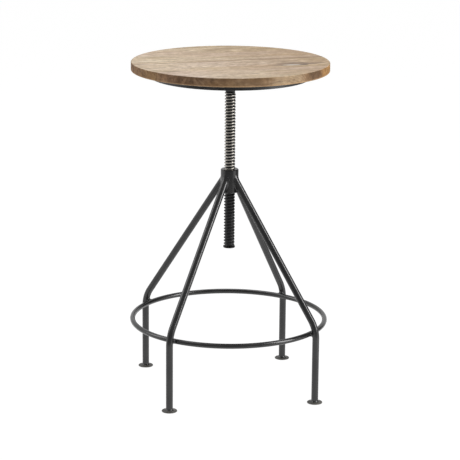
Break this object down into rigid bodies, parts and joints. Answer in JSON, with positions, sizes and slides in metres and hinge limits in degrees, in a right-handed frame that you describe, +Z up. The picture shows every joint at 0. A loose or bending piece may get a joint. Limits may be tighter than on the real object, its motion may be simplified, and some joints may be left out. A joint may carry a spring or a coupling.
{
  "type": "bar stool",
  "caption": "Adjustable bar stool: round plank seat on a screw spindle that turns up and down in a hub on four bent rod legs with a round foot ring",
  "frame": {"origin": "On the floor, on the spindle's axis, midway between the four feet", "axes": "+Z points up along the spindle, -Y points to the stool's front, +X to its right seen from the front"},
  "size_m": [0.4132, 0.4132, 0.691],
  "materials": {
    "seat_wood": "oiled, light tan, grain along the boards",
    "plate_black": "satin black powder coat",
    "frame_coat": "satin dark grey powder coat",
    "spindle_steel": "bare on the crests, blackened in the grooves",
    "zinc_steel": "dull zinc plate",
    "pad_rubber": "matt"
  },
  "bodies": {
    "frame": {"hub": "frame_coat", "hub_welds": "frame_coat", "leg_back_right": "frame_coat", "leg_back_left": "frame_coat", "leg_front_left": "frame_coat", "leg_front_right": "frame_coat", "foot_ring": "frame_coat", "ring_welds": "frame_coat", "foot_back_right": "frame_coat", "foot_back_left": "frame_coat", "foot_front_left": "frame_coat", "foot_front_right": "frame_coat", "foot_welds": "frame_coat", "pad_back_right": "pad_rubber", "pad_back_left": "pad_rubber", "pad_front_left": "pad_rubber", "pad_front_right": "pad_rubber"},
    "stop": {"stop_washer": "zinc_steel"},
    "seat": {"seat_board_1": "seat_wood", "seat_board_2": "seat_wood", "seat_board_3": "seat_wood", "seat_board_4": "seat_wood", "seat_plate": "plate_black", "plate_hoop": "plate_black", "plate_screws": "zinc_steel", "spindle": "spindle_steel", "spindle_weld": "plate_black", "stop_screw": "zinc_steel"}
  },
  "joints": [
    {"name": "seat_lift", "type": "slide", "parent": "frame", "child": "stop", "axis": [0, 0, 1], "range_m": [-0.158, 0.115]},
    {"name": "seat_spin", "type": "hinge", "parent": "stop", "child": "seat", "pos_m": [0, 0, 0.45], "axis": [0, 0, 1], "range_deg": [-8910, 6480]}
  ],
  "couplings": [
    {"joint": "seat_lift", "follows": "seat_spin", "m_per_rad": 0.0010106}
  ]
}
